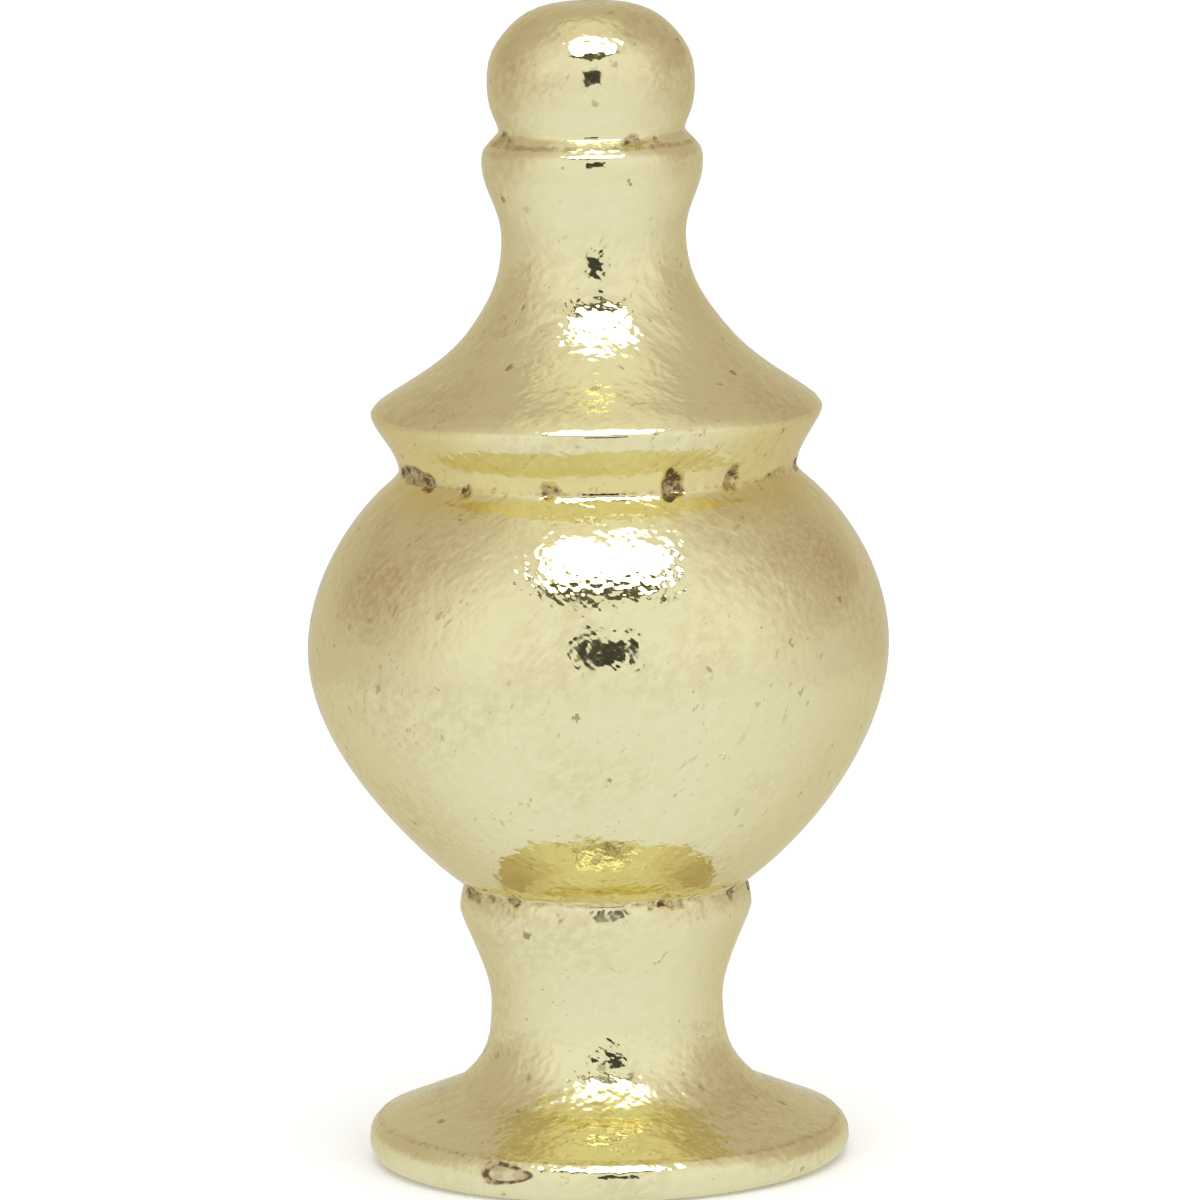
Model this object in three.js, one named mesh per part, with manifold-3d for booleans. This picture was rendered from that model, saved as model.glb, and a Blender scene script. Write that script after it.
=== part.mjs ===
// A turned and polished brass lamp finial in the shape of a small covered urn, cast in one piece.
// It has a wide foot, a waisted stem with a collar, a round bowl, a lid that sweeps up into a neck
// with a second collar, and a ball knob. A blind tapped socket in the underside screws onto the stud
// on top of a lamp's harp.
//
// Millimetres, +Z up. The origin is the centre of the flat underside, and -Y is the front.
// The outline is a stack of members, so each height starts where the member below it ends.

import * as THREE from 'three';
import { mergeVertices } from 'three/addons/utils/BufferGeometryUtils.js';
import Module from 'manifold-3d';

// Socket: a quarter-inch thread, 27 to the inch
const INCH = 25.4;
const THREAD_DIAMETER = INCH / 4;
const THREADS_PER_INCH = 27;
const SOCKET_DEPTH = 9.5;
const SOCKET_CHAMFER = 0.45;
const UNTHREADED_DEPTH = 1.0;
const DRILL_POINT_ANGLE = 118;
const CUTTER_OVERRUN = 1.0;

// Foot
const FOOT_OVERHANG = 4.78;
const RIM_UNDERCUT = 0.75;
const RIM_WIDEST_HEIGHT = 0.67;
const RIM_CROWN_HEIGHT = 0.84;
const RIM_CROWN_STEP = 0.355;
const FOOT_SLOPE_HEIGHT = 1.036;
const FOOT_SLOPE_RUN = 2.58;
const FOOT_BEND_HEIGHT = 0.339;
const FOOT_BEND_RUN = 0.56;
const FOOT_SWEEP_HEIGHT = 3.255;

// Stem
const STEM_WALL = 1.28;
const STEM_FLARE_HEIGHT = 3.58;
const STEM_COLLAR_STEP = 1.155;
const COLLAR_TOP_HEIGHT = 0.987;
const COLLAR_TOP_STEP = 0.193;

// Bowl
const BOWL_RADIUS = 11.12;
const BOWL_LOWER_HEIGHT = 9.12;
const BOWL_UPPER_HEIGHT = 6.303;
const SHOULDER_STEP = 0.455;
const GROOVE_HEIGHT = 0.56;

// Lid
const GROOVE_RADIUS = 7.585;
const LID_OVERHANG = 1.022;
const LID_BAND_HEIGHT = 2.27;
const LID_EDGE_HEIGHT = 0.346;
const LID_EDGE_STEP = 0.25;
const LID_ROOF_HEIGHT = 2.634;
const LID_ROOF_RUN = 3.372;
const LID_SWEEP_HEIGHT = 3.666;

// Neck
const NECK_RADIUS = 3.511;
const NECK_FLARE_HEIGHT = 2.994;
const NECK_COLLAR_STEP = 0.704;
const NECK_EDGE_HEIGHT = 0.505;
const NECK_EDGE_STEP = 0.365;
const NECK_COLLAR_TOP_HEIGHT = 0.135;
const NECK_COLLAR_TOP_STEP = 0.23;

// Knob
const KNOB_GROOVE_DEPTH = 0.156;
const KNOB_GROOVE_HEIGHT = 0.37;
const KNOB_RADIUS = 3.949;
const KNOB_LOWER_HEIGHT = 1.804;
const KNOB_UPPER_HEIGHT = 2.21;
const KNOB_UPPER_STEP = 0.962;
const KNOB_CAP_HEIGHT = 0.826;
const CENTRE_MARK_RADIUS = 0.75;
const CENTRE_MARK_DEPTH = 0.1;

// Facets
const FACETS_AROUND = 48;
const SOCKET_FACETS = 24;
const LONGEST_FACET = 1.6;
const SHARPEST_BEND = 20;
const SAME_POINT = 1e-5;

const pitch = INCH / THREADS_PER_INCH;
const threadDepth = 0.54127 * pitch; // five eighths of the height of a sharp 60 degree thread
const socketRadius = THREAD_DIAMETER / 2 - threadDepth;
const stemRadius = THREAD_DIAMETER / 2 + STEM_WALL;
const stemCollarRadius = stemRadius + STEM_COLLAR_STEP;
const footRadius = stemRadius + FOOT_OVERHANG;
const lidRadius = GROOVE_RADIUS + LID_OVERHANG;
const neckCollarRadius = NECK_RADIUS + NECK_COLLAR_STEP;

const UP = 90;

// Facets enough for a curve, from its length and from how far it turns on the way
function facetCount(curve) {
  const samples = 40;
  let turn = 0;
  for (let i = 1; i <= samples; i += 1) {
    turn += curve.getTangent((i - 1) / samples).angleTo(curve.getTangent(i / samples));
  }
  const forTurn = THREE.MathUtils.radToDeg(turn) / SHARPEST_BEND;
  return Math.ceil(Math.max(forTurn, curve.getLength() / LONGEST_FACET));
}

// A pen that draws the outline as radius and height, keeping its place and direction.
class Outline {
  constructor(radius, height) {
    this.points = [new THREE.Vector2(radius, height)];
    this.direction = 0;
  }

  get end() {
    return this.points[this.points.length - 1];
  }

  // A straight line to a radius and height
  line(radius, height) {
    this.direction = THREE.MathUtils.radToDeg(
      Math.atan2(height - this.end.y, radius - this.end.x),
    );
    this.points.push(new THREE.Vector2(radius, height));
    return this;
  }

  // The direction in which the next curve leaves, in degrees turned from outwards towards up
  face(degrees) {
    this.direction = degrees;
    return this;
  }

  // A cubic curve that steps out and rises by the given amounts and arrives in the given direction.
  // The two pulls say how far it keeps to each direction, as shares of the straight distance.
  curve(out, rise, arrive, leavePull, arrivePull) {
    const start = this.end.clone();
    const end = start.clone().add(new THREE.Vector2(out, rise));
    const span = start.distanceTo(end);
    const reach = (degrees, pull) => {
      const angle = THREE.MathUtils.degToRad(degrees);
      return new THREE.Vector2(Math.cos(angle), Math.sin(angle)).multiplyScalar(span * pull);
    };
    const bend = new THREE.CubicBezierCurve(
      start,
      start.clone().add(reach(this.direction, leavePull)),
      end.clone().sub(reach(arrive, arrivePull)),
      end,
    );
    this.points.push(...bend.getPoints(facetCount(bend)).slice(1));
    this.direction = arrive;
    return this;
  }
}

// A flat underside, a full round rim, and a top that slopes in from the rim and then sweeps up to
// the narrowest place of the stem
function drawFoot(outline) {
  const slopeTop = footRadius - RIM_CROWN_STEP - FOOT_SLOPE_RUN;
  const crownHeight = RIM_WIDEST_HEIGHT + RIM_CROWN_HEIGHT;
  outline
    .line(footRadius - RIM_UNDERCUT, 0)
    .face(0)
    .curve(RIM_UNDERCUT, RIM_WIDEST_HEIGHT, UP, 0.39, 0.39)
    .curve(-RIM_CROWN_STEP, RIM_CROWN_HEIGHT, 131, 0.72, 0.2)
    .line(slopeTop, crownHeight + FOOT_SLOPE_HEIGHT)
    .curve(-FOOT_BEND_RUN, FOOT_BEND_HEIGHT, 132, 0.35, 0.35)
    .curve(stemRadius - slopeTop + FOOT_BEND_RUN, FOOT_SWEEP_HEIGHT, UP, 0.4, 0.5);
}

// The stem flares from its waist to a collar, whose top edge turns in to meet the bowl
function drawStem(outline) {
  outline
    .curve(STEM_COLLAR_STEP, STEM_FLARE_HEIGHT, UP, 0.46, 0.18)
    .curve(-COLLAR_TOP_STEP, COLLAR_TOP_HEIGHT, 121.8, 0.3, 0.18);
}

// The bowl opens steeply from the collar, rounds over at its belly and closes to the groove
function drawBowl(outline) {
  const foot = stemCollarRadius - COLLAR_TOP_STEP;
  const shoulderRadius = GROOVE_RADIUS + SHOULDER_STEP;
  outline
    .face(35.3)
    .curve(BOWL_RADIUS - foot, BOWL_LOWER_HEIGHT, UP, 0.21, 0.36)
    .curve(shoulderRadius - BOWL_RADIUS, BOWL_UPPER_HEIGHT, 141, 0.4, 0.23)
    .curve(-SHOULDER_STEP, GROOVE_HEIGHT, UP, 0.25, 0.15);
}

// The lid's band flares out from the groove to a soft edge, and its roof slopes in and then sweeps
// up to the neck
function drawLid(outline) {
  const roofRadius = lidRadius - LID_EDGE_STEP - LID_ROOF_RUN;
  outline
    .curve(LID_OVERHANG, LID_BAND_HEIGHT, UP, 0.33, 0.2)
    .curve(-LID_EDGE_STEP, LID_EDGE_HEIGHT, 142.5, 0.16, 0.12)
    .curve(-LID_ROOF_RUN, LID_ROOF_HEIGHT, 128.1, 0.23, 0.378)
    .curve(NECK_RADIUS - roofRadius, LID_SWEEP_HEIGHT, UP, 0.41, 0.38);
}

// The neck flares to a collar with a rounded edge and a short sloping top
function drawNeck(outline) {
  outline
    .curve(NECK_COLLAR_STEP, NECK_FLARE_HEIGHT, UP, 0.382, 0.357)
    .curve(-NECK_EDGE_STEP, NECK_EDGE_HEIGHT, 125, 0.2, 0.2)
    .curve(-NECK_COLLAR_TOP_STEP, NECK_COLLAR_TOP_HEIGHT, 141.3, 0.39, 0.4);
}

// A ball, a little flat on top, that rises from a tight groove and ends in the lathe's centre mark
function drawKnob(outline) {
  const collarTop = neckCollarRadius - NECK_EDGE_STEP - NECK_COLLAR_TOP_STEP;
  outline
    .curve(-KNOB_GROOVE_DEPTH, KNOB_GROOVE_HEIGHT, UP, 0.27, 0.28)
    .curve(KNOB_RADIUS - collarTop + KNOB_GROOVE_DEPTH, KNOB_LOWER_HEIGHT, UP, 0.187, 0.638)
    .curve(-KNOB_UPPER_STEP, KNOB_UPPER_HEIGHT, 134.8, 0.374, 0.458)
    .curve(CENTRE_MARK_RADIUS - KNOB_RADIUS + KNOB_UPPER_STEP, KNOB_CAP_HEIGHT, 180, 0.364, 0.313)
    .line(0, outline.end.y - CENTRE_MARK_DEPTH);
}

// A closed mesh as a solid: only shared positions, with no seam left along the start of the turn
function solidFrom(wasm, geometry) {
  geometry.deleteAttribute('normal');
  geometry.deleteAttribute('uv');
  const merged = mergeVertices(geometry, SAME_POINT);
  return new wasm.Manifold(new wasm.Mesh({
    numProp: 3,
    vertProperties: new Float32Array(merged.attributes.position.array),
    triVerts: new Uint32Array(merged.index.array),
  }));
}

// An outline turned about the Z axis
function turn(wasm, outline, facets) {
  const geometry = new THREE.LatheGeometry(outline.points, facets);
  geometry.rotateX(Math.PI / 2);
  return solidFrom(wasm, geometry);
}

// The whole outline, with no socket in it yet
function turnedBody(wasm) {
  const outline = new Outline(0, 0);
  [drawFoot, drawStem, drawBowl, drawLid, drawNeck, drawKnob].forEach((draw) => draw(outline));
  return turn(wasm, outline, FACETS_AROUND);
}

// What the drill and the countersink cut away, from below the underside to the drill's point
function socketCutter(wasm) {
  const mouth = THREAD_DIAMETER / 2 + SOCKET_CHAMFER;
  const point = socketRadius / Math.tan(THREE.MathUtils.degToRad(DRILL_POINT_ANGLE / 2));
  const outline = new Outline(0, -CUTTER_OVERRUN)
    .line(mouth, -CUTTER_OVERRUN)
    .line(mouth, 0)
    .line(socketRadius, mouth - socketRadius)
    .line(socketRadius, SOCKET_DEPTH)
    .line(0, SOCKET_DEPTH + point);
  return turn(wasm, outline, SOCKET_FACETS);
}

// What a tap cuts away: a 60 degree trapezoid carried along a helix from below the mouth
function threadCutter(wasm) {
  const inner = socketRadius - threadDepth / 2;
  const outer = THREAD_DIAMETER / 2;
  const crest = pitch / 8;
  const root = crest + 2 * (outer - inner) * Math.tan(Math.PI / 6);
  const section = [
    [inner, -root / 2],
    [outer, -crest / 2],
    [outer, crest / 2],
    [inner, root / 2],
  ];
  const steps = Math.round(((SOCKET_DEPTH - UNTHREADED_DEPTH) / pitch + 1) * SOCKET_FACETS);
  const positions = [];
  const index = [];
  for (let i = 0; i <= steps; i += 1) {
    const angle = (i / SOCKET_FACETS) * 2 * Math.PI;
    const height = (i / SOCKET_FACETS - 1) * pitch;
    section.forEach(([radius, offset]) => {
      positions.push(radius * Math.cos(angle), radius * Math.sin(angle), height + offset);
    });
  }
  const sides = section.length;
  for (let i = 0; i < steps; i += 1) {
    for (let k = 0; k < sides; k += 1) {
      const here = i * sides + k;
      const next = i * sides + ((k + 1) % sides);
      index.push(here, here + sides, next, next, here + sides, next + sides);
    }
  }
  const last = steps * sides;
  index.push(0, 1, 2, 0, 2, 3);
  index.push(last, last + 2, last + 1, last, last + 3, last + 2);
  const geometry = new THREE.BufferGeometry();
  geometry.setAttribute('position', new THREE.Float32BufferAttribute(positions, 3));
  geometry.setIndex(index);
  return solidFrom(wasm, geometry);
}

function geometryFrom(solid) {
  const mesh = solid.getMesh();
  const geometry = new THREE.BufferGeometry();
  geometry.setAttribute('position', new THREE.BufferAttribute(mesh.vertProperties, mesh.numProp));
  geometry.setIndex(new THREE.BufferAttribute(mesh.triVerts, 1));
  return geometry.toNonIndexed();
}

function makeFinial(wasm) {
  const brass = new THREE.MeshStandardMaterial({ color: 0xe0d49a, roughness: 0.22, metalness: 1 });
  const body = turnedBody(wasm).subtract(socketCutter(wasm)).subtract(threadCutter(wasm));
  const geometry = geometryFrom(body);
  geometry.computeVertexNormals();
  const finial = new THREE.Mesh(geometry, brass);
  finial.name = 'urn_finial';
  return finial;
}

const wasm = await Module();
wasm.setup();

const lampFinial = new THREE.Group();
lampFinial.add(makeFinial(wasm));

export default lampFinial;
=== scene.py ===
"""A cast brass lamp finial in the shape of a small covered urn, laid out as a Blender add-on.

The body is one closed surface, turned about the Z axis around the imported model's socket and seat.
Metres, +Z up, with the origin at the centre of the underside and the front towards -Y.
"""

import math

import bpy
import numpy as np
from bpy.props import FloatProperty, FloatVectorProperty, IntProperty, PointerProperty
from mathutils import Matrix, Vector


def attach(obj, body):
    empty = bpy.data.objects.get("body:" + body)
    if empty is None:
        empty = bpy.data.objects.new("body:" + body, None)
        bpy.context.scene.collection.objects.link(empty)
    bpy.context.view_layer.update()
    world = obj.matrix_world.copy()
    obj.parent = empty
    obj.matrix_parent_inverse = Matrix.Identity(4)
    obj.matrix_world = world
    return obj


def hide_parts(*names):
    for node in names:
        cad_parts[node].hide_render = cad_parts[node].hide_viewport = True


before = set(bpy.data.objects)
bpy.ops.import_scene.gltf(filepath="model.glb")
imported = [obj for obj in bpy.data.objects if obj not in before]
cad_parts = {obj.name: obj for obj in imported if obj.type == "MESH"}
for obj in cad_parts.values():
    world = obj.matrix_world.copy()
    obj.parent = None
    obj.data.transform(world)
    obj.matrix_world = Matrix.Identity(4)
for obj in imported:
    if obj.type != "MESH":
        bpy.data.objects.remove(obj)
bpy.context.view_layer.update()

bl_info = {
    "name": "Urn Lamp Finial",
    "version": (1, 0, 0),
    "blender": (4, 5, 0),
    "location": "View3D > Sidebar > Finial",
    "description": "Builds a turned brass lamp finial shaped as a covered urn, with its stage",
    "category": "Add Mesh",
}

MM = 0.001
UP = 90.0
THREAD_PITCH = 25.4 / 27  # millimetres, for 27 turns to the inch
NODE = "urn_finial"


# Sizes and colours


def length(name, millimetres, description):
    """A size in metres whose default is given in millimetres."""
    return FloatProperty(
        name=name, description=description, default=millimetres * MM, precision=5, unit="LENGTH"
    )


def colour(name, default, description):
    """A linear red, green and blue."""
    return FloatVectorProperty(
        name=name, description=description, default=default, min=0.0, max=1.0, subtype="COLOR"
    )


def tilt(name, degrees, description):
    """An angle in radians whose default is given in degrees."""
    return FloatProperty(
        name=name, description=description, default=math.radians(degrees), unit="ROTATION"
    )


def radiance(name, default, description):
    """How bright a light or the surround is."""
    return FloatProperty(name=name, description=description, default=default, min=0.0)


class SocketSizes(bpy.types.PropertyGroup):
    """The blind tapped socket in the underside."""

    thread: length("Thread diameter", 6.35, "Across the roots of the thread")
    pitch: length("Pitch", THREAD_PITCH, "From one turn of the thread to the next")
    depth: length("Depth", 9.5, "From the underside to the drill's shoulder")
    plain: length("Unthreaded end", 1.0, "Length left by the tap at the top")
    chamfer: length("Chamfer", 0.45, "How far the mouth is wider than the thread")
    point: length("Drill point", 1.6, "Height of the cone that the drill leaves")


class FootSizes(bpy.types.PropertyGroup):
    """The round foot that the finial stands on."""

    overhang: length("Overhang", 4.78, "From the stem's waist out to the rim")
    undercut: length("Rim undercut", 0.75, "How far the rim turns in to the underside")
    widest: length("Rim height", 0.67, "Height of the rim's widest place")
    crown: length("Crown height", 0.84, "From the widest place up to the top of the rim")
    crown_step: length("Crown step", 0.355, "How far the rim turns in above its widest place")
    slope: length("Slope height", 1.036, "How far the foot's top rises from the rim to the bend")
    slope_run: length("Slope run", 2.58, "How far the foot's top runs in from the rim to the bend")
    bend: length("Bend height", 0.339, "Height of the bend between the slope and the sweep")
    bend_run: length("Bend run", 0.56, "How far the bend runs in")
    sweep: length("Sweep height", 3.255, "From the bend up to the stem's waist")


class StemSizes(bpy.types.PropertyGroup):
    """The waisted stem and its collar."""

    wall: length("Wall", 1.28, "Metal outside the thread at the waist")
    flare: length("Flare height", 3.58, "From the waist up to the collar")
    collar: length("Collar step", 1.155, "How far the collar stands out from the waist")
    top: length("Collar top", 0.987, "From the collar's widest place up to the bowl")
    top_step: length("Collar top step", 0.193, "How far the collar's top turns in")


class BowlSizes(bpy.types.PropertyGroup):
    """The round bowl of the urn."""

    radius: length("Radius", 11.12, "At the belly")
    lower: length("Lower height", 9.12, "From the collar up to the belly")
    upper: length("Upper height", 6.303, "From the belly up to the shoulder")
    shoulder: length("Shoulder step", 0.455, "From the shoulder in to the groove")
    groove: length("Groove height", 0.56, "From the shoulder up to the groove's narrowest place")


class LidSizes(bpy.types.PropertyGroup):
    """The lid with its flared band and swept roof."""

    groove: length("Groove radius", 7.585, "The narrowest place under the lid")
    overhang: length("Overhang", 1.022, "From the groove out to the lid's edge")
    band: length("Band height", 2.27, "From the groove up to the lid's edge")
    edge: length("Edge height", 0.346, "Height of the rounded edge")
    edge_step: length("Edge step", 0.25, "How far the rounded edge turns in")
    roof: length("Roof height", 2.634, "From the edge up to where the roof steepens")
    roof_run: length("Roof run", 3.372, "From the edge in to where the roof steepens")
    sweep: length("Sweep height", 3.666, "From there up to the neck's waist")


class NeckSizes(bpy.types.PropertyGroup):
    """The neck and its collar."""

    radius: length("Radius", 3.511, "At the waist")
    flare: length("Flare height", 2.78, "From the waist up to the collar")
    collar: length("Collar step", 0.70, "How far the collar stands out from the waist")
    side: length("Collar side", 0.46, "Height of the collar's gently rounded side")
    side_step: length("Collar side step", 0.06, "How far the side turns in")
    edge: length("Edge height", 0.165, "Height of the collar's rounded edge")
    edge_step: length("Edge step", 0.105, "How far the rounded edge turns in")
    top: length("Collar top", 0.425, "Height of the collar's sloping top")
    top_step: length("Collar top step", 0.385, "How far the sloping top runs in")


class KnobSizes(bpy.types.PropertyGroup):
    """The ball knob."""

    groove_step: length("Groove step", 0.12, "How deep the groove under the knob is")
    groove: length("Groove height", 0.175, "Height of the groove under the knob")
    radius: length("Radius", 3.949, "At the widest place")
    lower: length("Lower height", 1.804, "From the groove up to the widest place")
    upper: length("Upper height", 2.21, "From the widest place up to the shoulder")
    upper_step: length("Upper step", 0.962, "How far the ball turns in up to the shoulder")
    cap: length("Cap height", 0.826, "From the shoulder up to the top")
    mark: length("Centre mark radius", 0.75, "The lathe's centre mark in the top")
    mark_depth: length("Centre mark depth", 0.1, "How deep the centre mark is")


class SurfaceSizes(bpy.types.PropertyGroup):
    """How finely the surface is divided, and how uneven hand polishing left it."""

    columns: IntProperty(
        name="Columns", description="Faces around the outside", default=440, min=60
    )
    socket_columns: IntProperty(
        name="Socket columns", description="Faces around the socket", default=88, min=24
    )
    row: length("Row", 0.46, "Longest face along the outline")
    fine_row: length("Fine row", 0.11, "Longest face where there are pits")
    thread_row: length("Thread row", 0.11, "Longest face down the threaded wall")
    wave: length("Waviness", 0.004, "Height of the slow waves that polishing leaves")


class BrassColours(bpy.types.PropertyGroup):
    """The colours of the metal and of what has settled on it."""

    bright: colour("Bright", (0.865, 0.815, 0.48), "Clean polished brass")
    warm: colour("Warm", (0.70, 0.58, 0.31), "Brass with a thin tarnish")
    # Amber also rings the painted shade on the pits' upper sides.
    amber: colour("Amber", (0.47, 0.33, 0.14), "Brass at the edge of a deposit")
    # Gold is a painted reflection: brass seen in brass around the groove under the lid.
    gold: colour("Gold", (0.82, 0.72, 0.31), "Old lacquer left in the groove under the lid")
    cut: colour("Cut", (0.72, 0.60, 0.30), "Brass as the drill and the lathe leave it")
    # Also paints the shade on each pit's upper side, as painted shade, together with the real deposit.
    deposit_and_shade: colour("Deposit", (0.10, 0.06, 0.018), "Old polish and oxide in the pits")
    dust: colour("Dust", (0.50, 0.40, 0.22), "Paler dirt on top of the deposit")
    speck: colour("Speck", (0.33, 0.26, 0.08), "Small stains on the open surface")
    tarnish: FloatProperty(
        name="Tarnish", description="How much of it shows", default=0.5, min=0, max=1, subtype="FACTOR"
    )


class StageSizes(bpy.types.PropertyGroup):
    """The floor, the light and the camera."""

    floor: length("Floor radius", 3000.0, "How far the floor reaches")
    mat: length("Mat radius", 380.0, "How far the floor shows in reflections")
    distance: length("Camera distance", 305.8, "From the camera to the point it looks at")
    target: length("Camera target", 21.56, "Height of the point that the camera looks at")
    lens: FloatProperty(name="Lens", description="Focal length", default=240.0, unit="CAMERA")
    elevation: tilt("Elevation", 8.8, "Camera above the horizon")
    roll: tilt("Roll", 1.02, "Lean of the object to the left")
    softbox: radiance("Softbox", 3.0, "The large soft light")
    softbox_again: radiance("Softbox, seen twice", 1.4, "The soft light in a second reflection")
    fill: radiance("Fill", 1.25, "The room as it lights the floor")


class FinialSettings(bpy.types.PropertyGroup):
    """Everything that a user would change."""

    socket: PointerProperty(type=SocketSizes)
    foot: PointerProperty(type=FootSizes)
    stem: PointerProperty(type=StemSizes)
    bowl: PointerProperty(type=BowlSizes)
    lid: PointerProperty(type=LidSizes)
    neck: PointerProperty(type=NeckSizes)
    knob: PointerProperty(type=KnobSizes)
    surface: PointerProperty(type=SurfaceSizes)
    brass: PointerProperty(type=BrassColours)
    stage: PointerProperty(type=StageSizes)


# The outline of the turned body


class Outline:
    """A pen that draws the outline as radius and height, in rows no further apart than a pitch."""

    def __init__(self, radius, height):
        self.points = [np.array([[radius, height]])]
        self.direction = 0.0

    @property
    def end(self):
        return self.points[-1][-1]

    def line(self, radius, height, pitch):
        """Points at equal steps on the straight line to a radius and height."""
        target = np.array([radius, height])
        run, rise = target - self.end
        self.direction = math.degrees(math.atan2(rise, run))
        steps = max(1, math.ceil(np.hypot(run, rise) / pitch))
        t = np.linspace(0, 1, steps + 1)[1:, None]
        self.points.append(self.end + t * (target - self.end))
        return self

    def face(self, degrees):
        """The direction in which the next curve leaves, turned from outwards towards up."""
        self.direction = degrees
        return self

    def curve(self, out, rise, arrive, leave_pull, arrive_pull, pitch):
        """A cubic Bezier curve, evenly divided along its length.

        Its handles lie on the two end directions, at the given shares of the straight distance.
        """
        start = self.end
        end = start + (out, rise)
        reach = np.hypot(out, rise)
        leave, meet = (np.radians(a) for a in (self.direction, arrive))
        first = start + leave_pull * reach * np.array([math.cos(leave), math.sin(leave)])
        second = end - arrive_pull * reach * np.array([math.cos(meet), math.sin(meet)])
        t = np.linspace(0, 1, 400)[:, None]
        fine = (1 - t) ** 3 * start + 3 * (1 - t) ** 2 * t * first
        fine += 3 * (1 - t) * t**2 * second + t**3 * end
        along = np.append(0, np.cumsum(np.hypot(*np.diff(fine, axis=0).T)))
        stops = np.linspace(0, along[-1], max(2, math.ceil(along[-1] / pitch)) + 1)[1:]
        self.points.append(np.column_stack([np.interp(stops, along, c) for c in fine.T]))
        self.direction = arrive
        return self

    def rows(self):
        return np.vstack(self.points)


def draw_foot(pen, s, fine, row):
    """The underside, a full round rim, and a top that slopes in and sweeps up to the waist."""
    stem_radius = s.socket.thread / 2 + s.stem.wall
    foot = s.foot
    radius = stem_radius + foot.overhang
    slope_top = radius - foot.crown_step - foot.slope_run
    pen.line(radius - foot.undercut, 0, row * 1.5).face(0)
    pen.curve(foot.undercut, foot.widest, UP, 0.39, 0.39, fine)
    pen.curve(-foot.crown_step, foot.crown, 131, 0.63, 0.33, fine)
    pen.line(slope_top, pen.end[1] + foot.slope, row)
    pen.curve(-foot.bend_run, foot.bend, 138, 0.35, 0.35, fine)
    pen.curve(stem_radius - pen.end[0], foot.sweep, UP, 0.38, 0.5, row)


def draw_stem(pen, s, fine, row):
    """A flare from the waist to a collar whose top edge turns in to meet the bowl."""
    pen.curve(s.stem.collar, s.stem.flare, UP, 0.32, 0.085, row)
    pen.curve(-s.stem.top_step, s.stem.top, 121.8, 0.3, 0.18, fine)


def draw_bowl(pen, s, fine, row):
    """A bowl that opens from the collar, rounds over at the belly and closes to the groove."""
    shoulder = s.lid.groove + s.bowl.shoulder
    pen.face(35.3)
    pen.curve(s.bowl.radius - pen.end[0], s.bowl.lower, UP, 0.21, 0.36, row)
    pen.curve(shoulder - s.bowl.radius, s.bowl.upper, 141, 0.4, 0.23, row)
    pen.curve(-s.bowl.shoulder, s.bowl.groove, UP, 0.25, 0.15, fine)


def draw_lid(pen, s, fine, row):
    """A band that flares to a soft edge, and a roof that slopes in and sweeps up to the neck."""
    pen.curve(s.lid.overhang, s.lid.band, UP, 0.33, 0.2, fine * 1.3)
    pen.curve(-s.lid.edge_step, s.lid.edge, 142.5, 0.16, 0.12, fine)
    pen.curve(-s.lid.roof_run, s.lid.roof, 128.1, 0.23, 0.378, row)
    pen.curve(s.neck.radius - pen.end[0], s.lid.sweep, UP, 0.41, 0.38, row)


def draw_neck(pen, s, fine, row):
    """A flare to a collar with a gently rounded side, a rounded edge and a short sloping top."""
    pen.curve(s.neck.collar, s.neck.flare, UP, 0.382, 0.357, row)
    pen.curve(-s.neck.side_step, s.neck.side, 106, 0.334, 0.334, fine)
    pen.curve(-s.neck.edge_step, s.neck.edge, 131, 0.35, 0.35, fine)
    pen.curve(-s.neck.top_step, s.neck.top, 134, 0.35, 0.3, fine)


def draw_knob(pen, s, fine, row):
    """A ball, a little flat on top, that ends at the rim of the lathe's centre mark."""
    knob = s.knob
    pen.curve(-knob.groove_step, knob.groove, UP, 0.3, 0.35, fine)
    pen.curve(knob.radius - pen.end[0], knob.lower, UP, 0.187, 0.638, fine * 1.6)
    pen.curve(-knob.upper_step, knob.upper, 134.8, 0.374, 0.458, row)
    pen.curve(knob.mark - pen.end[0], knob.cap, 180, 0.364, 0.313, row)
    pen.line(knob.mark * 0.45, pen.end[1] - knob.mark_depth * 0.7, row)


# What casting, polishing and use did to the turned shape, with painted shade in the pits and a painted
# gold sheen

# Pits left by the casting: angle from the front in degrees, height, width, tallness and depth in
# millimetres. They sit in the three grooves, where polishing didn't reach.
LID_PITS = (
    (-64.2, 26.9, 2.4, 0.75, 0.16), (-74.6, 26.85, 1.1, 0.45, 0.12), (-57.2, 26.72, 0.85, 0.62, 0.2),
    (-40.4, 26.66, 0.45, 0.46, 0.12), (-30.7, 26.82, 0.2, 0.2, 0.05), (-27.4, 26.62, 0.2, 0.2, 0.05),
    (-13.6, 26.8, 0.8, 0.55, 0.1), (21.2, 26.95, 0.9, 1.2, 0.24), (41.1, 26.95, 0.75, 0.9, 0.18),
    (63.2, 26.85, 1.5, 0.3, 0.05), (81.7, 26.85, 1.1, 0.65, 0.16), (118.0, 26.8, 0.7, 0.5, 0.14),
    (151.0, 26.9, 1.0, 0.8, 0.18), (196.0, 26.75, 0.5, 0.5, 0.12), (243.0, 26.9, 1.3, 0.6, 0.15),
)
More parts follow.
